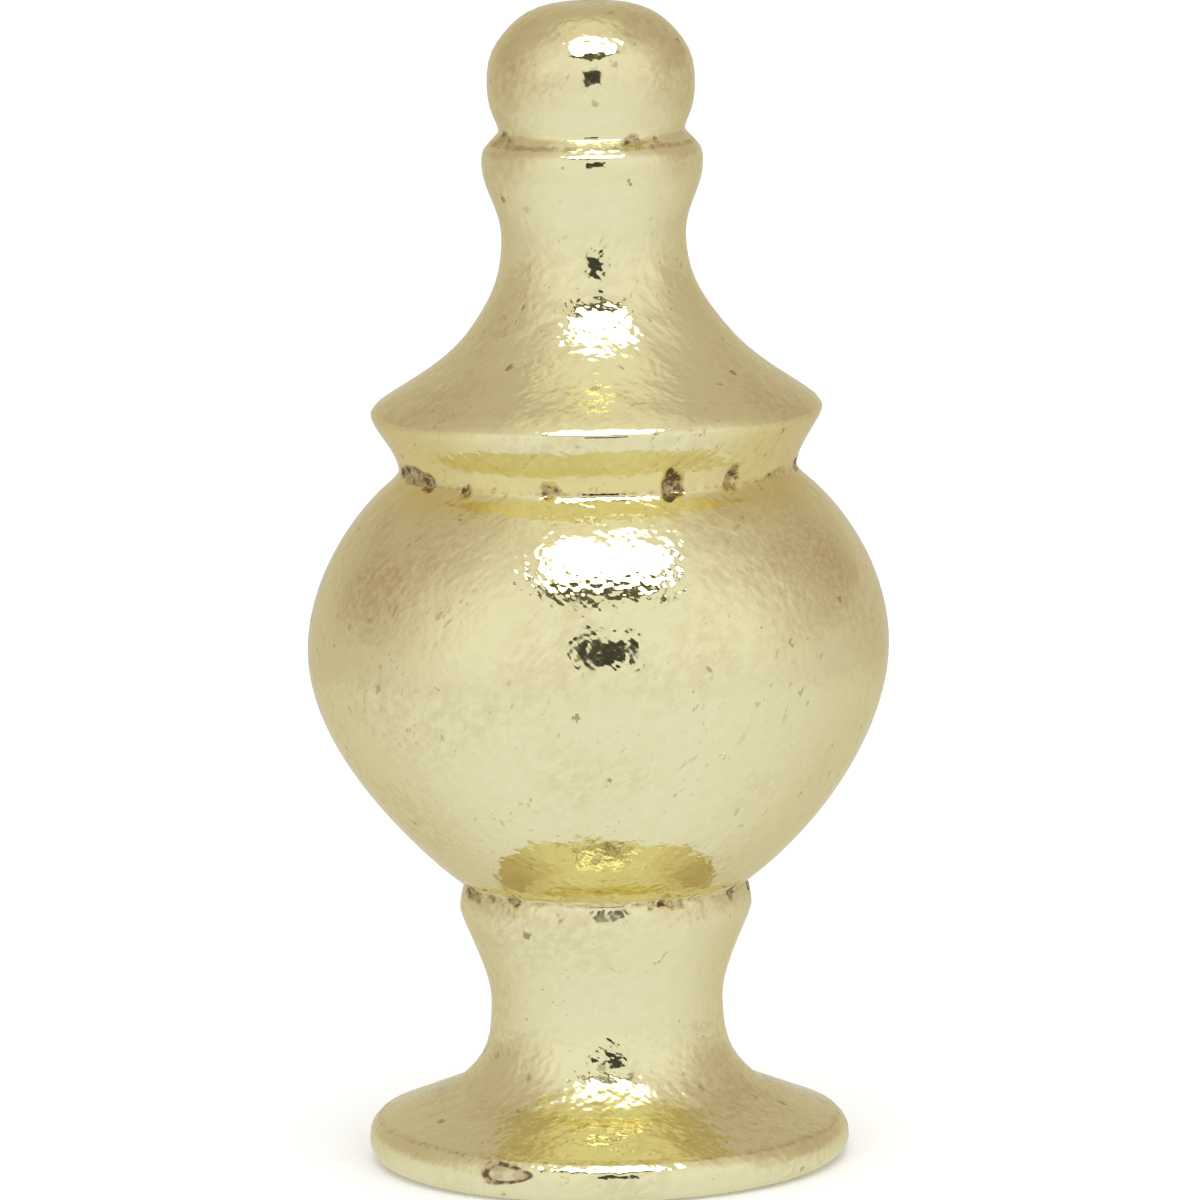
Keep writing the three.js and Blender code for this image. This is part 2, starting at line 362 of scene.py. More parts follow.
STEM_PITS = (
    (-68.4, 10.62, 1.6, 0.6, 0.14), (-52.3, 10.7, 0.4, 0.36, 0.1), (-39.5, 10.7, 0.64, 0.4, 0.12),
    (-18.4, 10.8, 0.28, 0.28, 0.08), (17.9, 10.66, 0.3, 0.5, 0.1), (23.1, 10.7, 0.5, 0.36, 0.12),
    (28.6, 10.64, 0.8, 0.55, 0.07), (36.0, 10.7, 0.24, 0.2, 0.06), (48.6, 10.74, 0.24, 0.2, 0.06),
    (60.0, 10.6, 0.53, 0.42, 0.12), (83.7, 10.5, 0.76, 0.4, 0.12), (132.0, 10.66, 0.6, 0.4, 0.12),
    (188.0, 10.7, 1.1, 0.5, 0.12), (229.0, 10.64, 0.5, 0.4, 0.1),
)
RIM_PITS = (
    (-16.2, 1.26, 0.24, 0.1, 0.05), (88.0, 1.1, 0.5, 0.24, 0.06), (163.0, 0.9, 0.3, 0.3, 0.06),
)
KNOB_PITS = (
    (-66.0, 39.38, 1.4, 0.7, 0.05), (25.5, 39.42, 0.95, 0.5, 0.08), (41.5, 39.44, 0.32, 0.34, 0.05),
    (128.0, 39.4, 0.5, 0.4, 0.08), (207.0, 39.38, 0.8, 0.4, 0.07),
)
PITS = LID_PITS + STEM_PITS + RIM_PITS + KNOB_PITS

# A blister in the foot's rim: angle in degrees, radius and height of its middle, width, tallness
# and rise in millimetres
BLISTER = (-25.0, 9.15, 1.07, 1.78, 0.62, 0.04)

# Brownish haze on the open surface: angle in degrees, height, width, tallness and amount
HAZE = (
    (-54.0, 23.9, 6.0, 4.6, 0.9), (-30.0, 25.0, 4.0, 2.2, 0.4), (57.0, 24.2, 5.0, 4.0, 0.6),
    (-58.0, 29.6, 5.0, 2.4, 0.7), (60.0, 29.4, 5.0, 2.2, 0.6), (-72.0, 2.4, 6.0, 2.6, 0.5),
    (68.0, 2.6, 6.0, 2.4, 0.5), (-52.0, 42.2, 3.6, 2.8, 1.0), (56.0, 41.6, 3.4, 3.0, 0.8),
    (4.0, 43.5, 5.0, 1.0, 0.7), (-8.0, 41.7, 5.0, 1.0, 0.4), (-40.0, 38.7, 2.6, 0.9, 0.6),
    (46.0, 38.6, 2.4, 0.9, 0.5), (28.0, 10.3, 2.4, 0.8, 0.6), (128.0, 23.0, 7.0, 5.0, 0.7),
    (-139.0, 18.0, 6.0, 6.0, 0.6), (171.0, 30.0, 6.0, 3.0, 0.6), (205.0, 3.0, 7.0, 2.6, 0.5),
)

# Corners that hold a little dirt all the way round: height and amount
CORNERS = ((1.52, 0.2), (10.71, 0.3), (26.72, 0.24), (39.2, 0.34))

# How coarse the polished skin is, by height in millimetres: the hollows were reached less well
SKIN = (
    (0.0, 0.8), (1.3, 1.1), (1.7, 1.0), (2.4, 1.9), (3.4, 1.95), (4.6, 1.8), (5.6, 1.2),
    (6.2, 0.6), (9.2, 0.5), (10.1, 2.1), (10.6, 1.9), (10.9, 0.8), (13.0, 0.5), (19.8, 0.6),
    (20.8, 0.85), (22.0, 0.9), (23.2, 1.35), (24.6, 0.95),
    (26.0, 1.0), (26.9, 0.4), (29.2, 0.5), (31.0, 1.2), (34.8, 1.6), (36.4, 0.8), (38.0, 0.5),
    (39.2, 0.8), (40.2, 0.5), (42.1, 0.4), (42.8, 0.9), (43.4, 1.2), (44.1, 0.9), (44.45, 0.6),
)

# Where a gold sheen is painted around the groove under the lid, at the sides and in front, as a painted
# reflection of brass seen in brass: height in millimetres and amount
PAINTED_GOLD_SHEEN = ((25.3, 0.0), (26.1, 1.0), (28.7, 0.85), (29.15, 0.0))
PAINTED_GOLD_SHEEN_IN_FRONT = ((26.5, 0.1), (26.8, 0.9), (27.5, 0.9), (27.8, 0.1), (29.15, 0.0))

# How far the axis strays to the right, in millimetres: height, spread and offset
STRAYS = ((31.3, 2.3, 0.13), (28.6, 0.9, -0.06), (19.0, 4.0, -0.1), (12.6, 2.5, 0.06))

# The rim of the foot is thicker on the left, as a slope in metres for each metre
RIM_SLOPE = -0.010
WAVE_SEED = 7
WAVES = 26


def smooth_step(low, high, x):
    """0 below low, 1 above high, and 3t^2 - 2t^3 between them."""
    t = np.clip((x - low) / (high - low), 0, 1)
    return t * t * (3 - 2 * t)


def outward(rows):
    """Unit normals of the outline: its direction turned a quarter to the right."""
    along = np.gradient(rows, axis=0)
    normal = np.column_stack([along[:, 1], -along[:, 0]])
    return normal / np.maximum(np.hypot(*normal.T), 1e-12)[:, None]


def slow_waves(angle, along, height):
    """Sum of cosines in angle and in length along the outline, with whole waves around the axis."""
    random = np.random.default_rng(WAVE_SEED)
    total = np.zeros(np.broadcast(angle, along).shape)
    for _ in range(WAVES):
        around = random.integers(2, 26)
        up = random.uniform(-1.0, 1.0) * 2 * math.pi / (2.2 * MM)
        phase = random.uniform(0, 2 * math.pi)
        total += np.cos(around * angle + up * along + phase) / WAVES**0.5
    return height * total / 2


def spot(angle, radius, along, centre, wide, tall, kink):
    """How far a point is from a spot's centre, over the unrolled surface, and in which direction.

    The first value is 0 at the centre and 1 at the edge, whose radius is made uneven by three and
    five waves around it. The second is the distance from that edge in metres, negative inside. The
    third is the bearing from the centre.
    """
    turn = (angle - centre[0] + math.pi) % (2 * math.pi) - math.pi
    across, up = turn * radius, along - centre[1]
    bearing = np.arctan2(up / tall, across / wide)
    ragged = 1 + 0.16 * np.cos(3 * bearing + kink) + 0.1 * np.cos(5 * bearing + 2.3 * kink)
    away = np.hypot(across / (wide / 2), up / (tall / 2)) / ragged
    reach = np.hypot(across, up) / np.maximum(away, 1e-6)
    return away, (away - 1) * reach, bearing


def weathered(rows, columns, s):
    """The outside as a grid of points, with its deposit and painted pit shade, haze, coarseness of skin
    and painted gold sheen.

    Each point is the turned outline's, moved along its normal by slow waves, less the pits and plus the
    blister, and then sideways as the axis strays. A pit holds deposit, and is darkest in a crescent
    inside its edge, mostly on its upper side: painted shade, as if the pit's upper wall were in shadow,
    together with deposit.
    """
    angle = np.linspace(0, 2 * math.pi, columns, endpoint=False)[None, :]
    front = -math.pi / 2
    radius, height = rows[:, :1], rows[:, 1:]
    along = np.append(0, np.cumsum(np.hypot(*np.diff(rows, axis=0).T)))[:, None]
    normal = outward(rows)
    above = smooth_step(0.3 * MM, 1.0 * MM, height)
    shift = slow_waves(angle, along, s.surface.wave) * above
    deposit_and_shade = np.zeros(np.broadcast(angle, along).shape)
    walls = slice(int(np.argmax(height > 0)), None)

    def spot_at(degrees, at, wide, tall, kink):
        centre = front + math.radians(degrees), np.interp(at * MM, height[walls, 0], along[walls, 0])
        return spot(angle, radius, along, centre, wide * MM, tall * MM, kink)

    for number, (degrees, at, wide, tall, deep) in enumerate(PITS):
        away, edge, bearing = spot_at(degrees, at, wide, tall, number)
        shift -= deep * MM * np.clip(1 - away**2, 0, 1) ** 0.7
        # Painted shade: each pit's crescent is darkest on its upper side, as if its upper wall were in
        # shadow.
        shaded_side = 0.62 + 0.38 * np.cos(bearing - 1.9 - 1.1 * math.sin(2.3 * number))
        crescent = np.exp(-(((away - 0.72) / 0.3) ** 2)) * shaded_side
        inside = 0.5 * smooth_step(0.05 * MM, -0.05 * MM, edge)
        deposit_and_shade = np.maximum(deposit_and_shade, np.maximum(crescent, inside) * min(1, 0.38 + deep / 0.19))
    degrees, _, at, wide, tall, rise = BLISTER
    away = spot_at(degrees, at, wide, tall, 1.0)[0]
    shift += rise * MM * np.clip(1 - away**2, 0, 1) ** 0.5
    haze = np.zeros(deposit_and_shade.shape)
    for number, (degrees, at, wide, tall, amount) in enumerate(HAZE):
        haze += amount * np.exp(-spot_at(degrees, at, wide, tall, number)[0] ** 2)
    for at, amount in CORNERS:
        from_corner = np.abs(height - at * MM)
        deposit_and_shade = np.maximum(deposit_and_shade, amount * smooth_step(0.16 * MM, 0.02 * MM, from_corner))

    out = radius + shift * normal[:, :1]
    up = height + shift * normal[:, 1:]
    x, y = out * np.cos(angle), out * np.sin(angle)
    x = x + sum(o * MM * np.exp(-(((height / MM - h) / w) ** 2)) for h, w, o in STRAYS)
    rim = smooth_step(0.2 * MM, 0.9 * MM, height) * (1 - smooth_step(2 * MM, 5 * MM, height))
    up = up + RIM_SLOPE * x * rim
    skin = np.broadcast_to(np.interp(height / MM, *np.transpose(SKIN)), haze.shape)
    # Painted reflection: the gold sheen is fuller at the sides than in front.
    from_front = np.abs((angle - front + math.pi) % (2 * math.pi) - math.pi)
    painted_gold_sheen = np.interp(height / MM, *np.transpose(PAINTED_GOLD_SHEEN))
    in_front = np.interp(height / MM, *np.transpose(PAINTED_GOLD_SHEEN_IN_FRONT)) * (painted_gold_sheen > 0)
    painted_gold_sheen = in_front + (painted_gold_sheen - in_front) * smooth_step(0.35, 0.8, from_front)
    marks = {"deposit_and_shade": deposit_and_shade, "haze": np.minimum(haze, 1), "skin": skin, "painted_gold_sheen": painted_gold_sheen}
    return np.stack([x, y, up], -1), marks


# The socket

# The form of its thread, as shares of the pitch: how deep the groove is, and how far from its
# middle the flat at its bottom and its flank end
THREAD_DEPTH = 0.54127
FLAT_END = 0.0625
FLANK_END = 0.375


def threaded(s):
    """The socket's wall as a grid, from the drill's shoulder down to the mouth.

    The radius is the drilled one, plus the depth of a 60 degree groove that climbs one pitch for
    each turn, and it is never less than the chamfer's cone.
    """
    sizes = s.socket
    deep = THREAD_DEPTH * sizes.pitch
    drilled = sizes.thread / 2 - deep
    mouth = sizes.thread / 2 + sizes.chamfer
    angle = np.linspace(0, 2 * math.pi, s.surface.socket_columns, endpoint=False)[None, :]
    rows = math.ceil(sizes.depth / s.surface.thread_row)
    height = np.linspace(sizes.depth, 0, rows + 1)[:, None]
    turns = height / sizes.pitch - angle / (2 * math.pi)
    from_middle = np.abs((turns + 0.5) % 1 - 0.5)
    cut = np.clip((FLANK_END - from_middle) / (FLANK_END - FLAT_END), 0, 1)
    end = sizes.depth - sizes.plain
    cut = cut * (1 - smooth_step(end - sizes.pitch / 3, end, height))
    radius = np.maximum(drilled + deep * cut, mouth - height)
    height = np.broadcast_to(height, radius.shape)
    return np.stack([radius * np.cos(angle), radius * np.sin(angle), height], -1)


# Meshes


def grid_faces(first, rows, columns):
    """Quads of a grid that closes around, with its points numbered row by row from first."""
    index = first + np.arange(rows * columns).reshape(rows, columns)
    here, up = index[:-1], index[1:]
    quads = np.stack([here, np.roll(here, -1, 1), np.roll(up, -1, 1), up], -1)
    return quads.reshape(-1, 4)


def fan_faces(tip, ring):
    """Triangles that close a ring to one point: each has a point, the next one round and the tip."""
    return np.stack([ring, np.roll(ring, -1), np.full(len(ring), tip)], -1)


def step_faces(inner, outer):
    """Triangles between two flat rings, the outer with a whole number of points for each inner one."""
    many = len(outer) // len(inner)
    middle = (many + 1) // 2
    following = np.roll(inner, -1)
    edges = outer.reshape(len(inner), many)
    closed = np.append(edges, np.roll(edges[:, :1], -1, 0), 1)
    found = [np.stack([inner, following, closed[:, middle]], -1)]
    for k in range(many):
        tips = inner if k < middle else following
        found.append(np.stack([tips, closed[:, k + 1], closed[:, k]], -1))
    return np.vstack(found)


def make_mesh(name, points, faces):
    """A smooth mesh object at the origin, from an array of points and a list of arrays of faces."""
    mesh = bpy.data.meshes.new(name)
    mesh.from_pydata(points.tolist(), [], [f for group in faces for f in group.tolist()])
    mesh.polygons.foreach_set("use_smooth", np.ones(len(mesh.polygons), bool))
    mesh.update()
    made = bpy.data.objects.new(name, mesh)
    bpy.context.scene.collection.objects.link(made)
    return made


def make_body(s):
    """The whole finial as one closed surface.

    Its parts follow each other as on the outline: the drill's cone, the threaded wall, the step
    from the socket's columns to the outside's, the outside, and the centre mark in the top.
    """
    wall = threaded(s)
    seam = s.socket.thread / 2 + s.socket.chamfer + 0.15 * MM
    pen = Outline(seam, 0)
    for draw in (draw_foot, draw_stem, draw_bowl, draw_lid, draw_neck, draw_knob):
        draw(pen, s, s.surface.fine_row, s.surface.row)
    rows = pen.rows()
    columns = s.surface.columns
    outside, marks = weathered(rows, columns, s)

    drill_tip = np.array([[0, 0, s.socket.depth + s.socket.point]])
    low = outside[-1].mean(0) - (0, 0, 0.3 * s.knob.mark_depth)
    points = np.vstack([drill_tip, wall.reshape(-1, 3), outside.reshape(-1, 3), low])
    wall_first, outside_first = 1, 1 + wall.shape[0] * wall.shape[1]
    wall_ring = wall_first + np.arange(wall.shape[1])
    mouth_ring = wall_ring + (wall.shape[0] - 1) * wall.shape[1]
    first_ring = outside_first + np.arange(columns)
    last_ring = first_ring + (len(rows) - 1) * columns
    faces = [
        fan_faces(0, wall_ring)[:, ::-1],
        grid_faces(wall_first, *wall.shape[:2]),
        step_faces(mouth_ring, first_ring),
        grid_faces(outside_first, len(rows), columns),
        fan_faces(len(points) - 1, last_ring),
    ]
    body = make_mesh("finial_body", points, faces)
    flat_rows = int(np.argmax(rows[:, 1] > 0)) - 1
    cut_faces = sum(len(f) for f in faces[:3]) + flat_rows * columns
    slots = (np.arange(len(body.data.polygons)) < cut_faces).astype(np.int32)
    body.data.polygons.foreach_set("material_index", slots)
    for name, values in marks.items():
        values = np.concatenate([np.zeros(outside_first), values.ravel(), [0.5]])
        layer = body.data.attributes.new(name, "FLOAT", "POINT")
        layer.data.foreach_set("value", values.astype(np.float32))
    return body


# Nodes


def is_socket(value):
    return isinstance(value, bpy.types.NodeSocket)


def add(tree, kind, settings=(), **inputs):
    """A node with its settings, whose inputs are linked from sockets or set to values.

    An input is given by name, or by i and its number.
    """
    node = tree.nodes.new(kind)
    for key, value in dict(settings).items():
        setattr(node, key, value)
    for key, value in inputs.items():
        number = key[0] == "i" and key[1:].isdigit()
        socket = node.inputs[int(key[1:]) if number else key]
        if is_socket(value):
            tree.links.new(value, socket)
        else:
            socket.default_value = value
    return node


def calculate(tree, operation, *values):
    """A Math node's output."""
    inputs = {f"i{i}": v for i, v in enumerate(values)}
    return add(tree, "ShaderNodeMath", {"operation": operation}, **inputs).outputs[0]


def product(tree, first, second):
    """Two sockets or values multiplied."""
    return calculate(tree, "MULTIPLY", first, second)


def remap(tree, value, low, high, to_low=0.0, to_high=1.0):
    """A value taken from one range to another, held at its ends, with smooth shoulders."""
    settings = {"interpolation_type": "SMOOTHSTEP"}
    inputs = {"i0": value, "i1": low, "i2": high, "i3": to_low, "i4": to_high}
    return add(tree, "ShaderNodeMapRange", settings, **inputs).outputs[0]


def blend_colours(tree, factor, first, second):
    """A mix of two colours, each a socket or a value."""
    first, second = (c if is_socket(c) else (*c[:3], 1) for c in (first, second))
    node = add(tree, "ShaderNodeMix", {"data_type": "RGBA"}, i0=factor, i6=first, i7=second)
    return node.outputs[2]


def vector_math(tree, operation, **inputs):
    """A Vector Math node's output."""
    return add(tree, "ShaderNodeVectorMath", {"operation": operation}, **inputs).outputs[0]


def stretched(tree, vector, degrees, size, stretch):
    """Coordinates turned about Y, in units of a size, and drawn out along the turned X."""
    inputs = {"Vector": vector, "Angle": math.radians(degrees)}
    turned = add(tree, "ShaderNodeVectorRotate", {"rotation_type": "Y_AXIS"}, **inputs).outputs[0]
    scale = calculate(tree, "DIVIDE", 1.0, size) if is_socket(size) else 1 / size
    scaled = vector_math(tree, "SCALE", i0=turned, Scale=scale)
    return vector_math(tree, "MULTIPLY", i0=scaled, i1=(1 / stretch, 1, 1))


def noise(tree, vector, detail=2.0, roughness=0.5, scale=1.0):
    """A noise value from 0 to 1, with features about one unit across."""
    inputs = {"Vector": vector, "Scale": scale, "Detail": detail, "Roughness": roughness}
    return add(tree, "ShaderNodeTexNoise", **inputs).outputs[0]


def new_group(name, output, **numbers):
    """An empty node group that takes a vector and named numbers and puts out one number."""
    tree = bpy.data.node_groups.new(name, "ShaderNodeTree")
    tree.interface.new_socket("Vector", in_out="INPUT", socket_type="NodeSocketVector")
    for label, default in numbers.items():
        socket = tree.interface.new_socket(label, in_out="INPUT", socket_type="NodeSocketFloat")
        socket.default_value = default
    tree.interface.new_socket(output, in_out="OUTPUT", socket_type="NodeSocketFloat")
    return tree, tree.nodes.new("NodeGroupInput").outputs, tree.nodes.new("NodeGroupOutput").inputs


def make_ripple_group():
    """The skin of a casting that was polished but not cut back: low oval ripples in two directions.

    Height is the sum of two noises, the stronger drawn out to the lower right and the weaker to the
    lower left, and of a wider one.
    """
    tree, given, out = new_group("casting_ripple", "Height", Size=0.22 * MM)
    place, size = given["Vector"], given["Size"]
    right = noise(tree, stretched(tree, place, -44, size, 1.9), 1.0, 0.4)
    left = noise(tree, stretched(tree, place, 38, product(tree, size, 0.8), 1.5), 0.0)
    wide = noise(tree, stretched(tree, place, -15, product(tree, size, 3.2), 1.3), 0.0)
    height = calculate(tree, "MULTIPLY_ADD", left, 0.5, right)
    height = calculate(tree, "MULTIPLY_ADD", wide, 1.6, height)
    tree.links.new(height, out["Height"])
    return tree


def make_tarnish_group():
    """Cloudy patches of thin tarnish, broken up by a finer mottle, over a faint even mottle."""
    tree, given, out = new_group("thin_tarnish", "Mask", Size=6 * MM, Amount=0.5)
    place, size = given["Vector"], given["Size"]
    cloud = noise(tree, stretched(tree, place, 0, size, 1.0), 1.0)
    fine = product(tree, size, 0.07)
    mottle = noise(tree, stretched(tree, place, 40, fine, 1.7), 2.0, 0.62)
    patches = remap(tree, cloud, 0.42, 0.66, 0.22, 1.0)
    broken = remap(tree, mottle, 0.32, 0.68)
    mask = product(tree, product(tree, patches, broken), given["Amount"])
    tree.links.new(mask, out["Mask"])
    return tree


def make_speck_group():
    """Scattered small stains: cells of a Voronoi pattern, some of which hold a ragged spot.

    A spot is where the distance from the cell's point is less than the cell's own radius, after a
    finer noise pushed the coordinates about.
    """
    tree, given, out = new_group("stain_specks", "Mask", Spacing=1 * MM, Share=0.2, Largest=0.12)
    place = stretched(tree, given["Vector"], 30, given["Spacing"], 1.0)
    push = add(tree, "ShaderNodeTexNoise", Vector=place, Scale=6.0, Detail=0.0).outputs[1]
    pushed = vector_math(tree, "MULTIPLY_ADD", i0=push, i1=(0.3, 0.3, 0.3), i2=place)
    cells = add(tree, "ShaderNodeTexVoronoi", Vector=pushed, Scale=1.0)
    chance = add(tree, "ShaderNodeSeparateColor", i0=cells.outputs["Color"]).outputs
    held = calculate(tree, "LESS_THAN", chance[0], given["Share"])
    size = product(tree, calculate(tree, "POWER", chance[1], 2.0), given["Largest"])
    inside = calculate(tree, "SUBTRACT", size, cells.outputs["Distance"])
    mask = product(tree, remap(tree, inside, -0.03, 0.03), held)
    strong = calculate(tree, "MULTIPLY_ADD", chance[2], 0.7, 0.3)
    tree.links.new(product(tree, mask, strong), out["Mask"])
    return tree


def make_smear_group():
    """Ragged little stains in loose trails: where a drawn out noise stands high, inside patches."""
    tree, given, out = new_group("stain_smears", "Mask", Size=0.3 * MM, Share=0.5)
    place, size = given["Vector"], given["Size"]
    fine = noise(tree, stretched(tree, place, 62, size, 2.0), 2.0, 0.65)
    wide = product(tree, size, 7.0)
    patch = noise(tree, stretched(tree, place, 70, wide, 1.8), 1.0)
    where = remap(tree, calculate(tree, "ADD", patch, given["Share"]), 0.98, 1.14)
    marks = remap(tree, fine, 0.63, 0.7)
    tree.links.new(product(tree, marks, where), out["Mask"])
    return tree


def use_group(tree, groups, name, **inputs):
    """A node group placed in a material, with its own values."""
    return add(tree, "ShaderNodeGroup", {"node_tree": groups[name]}, **inputs).outputs[0]


def new_material(name):
    """A material, its node tree and its Principled shader."""
    material = bpy.data.materials.new(name)
    material.use_nodes = True
    return material, material.node_tree, material.node_tree.nodes["Principled BSDF"]


def object_coordinates(tree):
    return tree.nodes.new("ShaderNodeTexCoord").outputs["Object"]


def attribute(tree, name):
    return add(tree, "ShaderNodeAttribute", {"attribute_name": name}).outputs["Fac"]


def blister_distance(tree, place):
    """1 on the blister's outline, 0 at its middle: an oval that tapers to the right, a little uneven."""
    degrees, radius, at, wide, tall, _ = BLISTER
    turn = math.radians(degrees)
    middle = Vector((radius * math.sin(turn), -radius * math.cos(turn), at)) * MM
    size = Vector((wide / 2, 2, tall / 2)) * MM
    inputs = {"Vector": place, "Location": middle, "Rotation": (0, 0, turn), "Scale": size}
    flat = add(tree, "ShaderNodeMapping", {"vector_type": "TEXTURE"}, **inputs).outputs[0]
    axes = add(tree, "ShaderNodeSeparateXYZ", i0=flat).outputs
    taper = calculate(tree, "MULTIPLY_ADD", axes[0], 0.42, 1.0)
    up = product(tree, axes[2], taper)
    oval = add(tree, "ShaderNodeCombineXYZ", i0=axes[0], i1=axes[1], i2=up).outputs[0]
    away = add(tree, "ShaderNodeVectorMath", {"operation": "LENGTH"}, i0=oval).outputs["Value"]
    uneven = noise(tree, stretched(tree, place, 0, 0.4 * MM, 1.0), 1.0)
    return calculate(tree, "MULTIPLY_ADD", uneven, 0.3, calculate(tree, "SUBTRACT", away, 0.15))


def make_polished_brass(s, groups):
    """Worn, brightly polished brass, with deposit in its pits and painted shade on their upper sides."""
    material, tree, shader = new_material("polished_brass")
    place = object_coordinates(tree)
    shader.inputs["Specular Tint"].default_value = (0.97, 0.94, 0.80, 1)
    haze, held = attribute(tree, "haze"), attribute(tree, "deposit_and_shade")
    tarnish = use_group(tree, groups, "tarnish", Vector=place, Size=5 * MM, Amount=s.brass.tarnish)
    cloudy = use_group(tree, groups, "tarnish", Vector=place, Size=3 * MM, Amount=1.5)
    cloudy = product(tree, haze, calculate(tree, "ADD", cloudy, 0.25))
    tarnish = calculate(tree, "MINIMUM", calculate(tree, "ADD", tarnish, cloudy), 1.0)
    specks = use_group(tree, groups, "specks", Vector=place, Spacing=0.9 * MM, Share=0.75, Largest=0.2)
    dots = use_group(tree, groups, "specks", Vector=place, Spacing=0.38 * MM, Share=0.3, Largest=0.18)
    smears = use_group(tree, groups, "smears", Vector=place, Size=0.3 * MM, Share=0.5)
    ragged = noise(tree, stretched(tree, place, 0, 0.27 * MM, 1.0), 2.0, 0.6)
    worn = calculate(tree, "MULTIPLY_ADD", ragged, 0.95, -0.475)
    worn = calculate(tree, "ADD", worn, held)
    # Held is deposit in the pits and corners together with painted shade on the pits' upper sides.
    amber = product(tree, remap(tree, worn, 0.0, 0.5), remap(tree, held, 0.02, 0.2))
    filled = remap(tree, worn, 0.36, 0.62)
    clods = remap(tree, noise(tree, stretched(tree, place, 20, 0.3 * MM, 1.4), 2.0), 0.46, 0.62)

    stains = calculate(tree, "MAXIMUM", specks, product(tree, dots, 0.6))
    stains = calculate(tree, "MAXIMUM", stains, product(tree, smears, 0.5))
    # Painted reflection: a more golden brass around the groove under the lid.
    shade = blend_colours(tree, attribute(tree, "painted_gold_sheen"), s.brass.bright, s.brass.gold)
    shade = blend_colours(tree, tarnish, shade, s.brass.warm)
    shade = blend_colours(tree, product(tree, stains, 0.8), shade, s.brass.speck)
    shade = blend_colours(tree, product(tree, amber, 0.75), shade, s.brass.amber)
    from_middle = blister_distance(tree, place)
    under = calculate(tree, "MULTIPLY_ADD", clods, 0.4, 0.3)
    under = product(tree, remap(tree, from_middle, 1.0, 0.8), under)
    shade = blend_colours(tree, under, shade, s.brass.dust)
    from_edge = calculate(tree, "ABSOLUTE", calculate(tree, "SUBTRACT", from_middle, 1.0))
    outline = remap(tree, from_edge, 0.32, 0.12)
    filled = calculate(tree, "MAXIMUM", filled, outline)
    # Painted shade: the dirt colour also fills the darker upper side of each pit.
    dirt = blend_colours(tree, product(tree, clods, 0.75), s.brass.deposit_and_shade, s.brass.dust)
    shade = blend_colours(tree, filled, shade, dirt)
    tree.links.new(shade, shader.inputs["Base Color"])

    skin = attribute(tree, "skin")
    rough = calculate(tree, "MULTIPLY_ADD", tarnish, 0.12, 0.065)
    rough = calculate(tree, "MULTIPLY_ADD", remap(tree, skin, 1.7, 2.1), 0.14, rough)
    rough = calculate(tree, "MULTIPLY_ADD", stains, 0.25, rough)
    rough = calculate(tree, "MULTIPLY_ADD", filled, 0.4, rough)
    tree.links.new(rough, shader.inputs["Roughness"])
    tree.links.new(calculate(tree, "MULTIPLY_ADD", filled, -0.95, 1.0), shader.inputs["Metallic"])

    height = use_group(tree, groups, "ripple", Vector=place, Size=0.29 * MM)
    height = product(tree, height, skin)
    height = calculate(tree, "MULTIPLY_ADD", worn, product(tree, held, 1.2), height)
    bump = add(tree, "ShaderNodeBump", Strength=1.0, Distance=0.023 * MM, Height=height)
    tree.links.new(bump.outputs[0], shader.inputs["Normal"])
    return material


def make_cut_brass(s, groups):
    """Brass as the lathe and the tap leave it: turning rings, duller and a little browner."""
    material, tree, shader = new_material("cut_brass")
    place = object_coordinates(tree)
    tarnish = use_group(tree, groups, "tarnish", Vector=place, Size=3 * MM, Amount=0.9)
    specks = use_group(tree, groups, "specks", Vector=place, Spacing=0.8 * MM, Share=0.3, Largest=0.2)
    shade = blend_colours(tree, tarnish, s.brass.cut, s.brass.warm)
    shade = blend_colours(tree, product(tree, specks, 0.6), shade, s.brass.speck)
    tree.links.new(shade, shader.inputs["Base Color"])
    tree.links.new(calculate(tree, "MULTIPLY_ADD", tarnish, 0.2, 0.22), shader.inputs["Roughness"])
    shader.inputs["Metallic"].default_value = 1.0
    settings = {"wave_type": "RINGS", "rings_direction": "Z"}
    inputs = {"Vector": place, "Scale": 0.5 / MM, "Distortion": 0.4, "Detail": 1.0}
    rings = add(tree, "ShaderNodeTexWave", settings, **inputs).outputs["Fac"]
    bump = add(tree, "ShaderNodeBump", Strength=1.0, Distance=0.006 * MM, Height=rings)
    tree.links.new(bump.outputs[0], shader.inputs["Normal"])
    return material


# The stage


def plain_material(name, shade):
    """A dull material for the stage, its node tree and its shader."""
    material, tree, shader = new_material(name)
    shader.inputs["Base Color"].default_value = (*shade, 1)
    shader.inputs["Roughness"].default_value = 1.0
    shader.inputs["Specular IOR Level"].default_value = 0.0
    return material, tree, shader


def make_disc(name, radius, height, columns=96):
    """A flat disc around the finial: a ring of points on a circle, closed to its middle."""
    turn = np.linspace(0, 2 * math.pi, columns, endpoint=False)
    ring = np.column_stack([np.cos(turn), np.sin(turn), np.zeros(columns)]) * radius
    points = np.vstack([np.zeros(3), ring]) + (0, 0, height)
    disc = make_mesh(name, points, [fan_faces(0, 1 + np.arange(columns))])
    return disc


def seen_again(tree):
    """1 for a ray that comes by way of two reflections or more, and 0 for others."""
    path = tree.nodes.new("ShaderNodeLightPath").outputs
    later = calculate(tree, "GREATER_THAN", path["Ray Depth"], 1.5)
    return product(tree, later, path["Is Glossy Ray"])


def towards(azimuth, elevation):
    """A unit direction: azimuth grows from the front towards +X, elevation grows upwards."""
    a, e = math.radians(azimuth), math.radians(elevation)
    return Vector((math.sin(a) * math.cos(e), -math.cos(a) * math.cos(e), math.sin(e)))


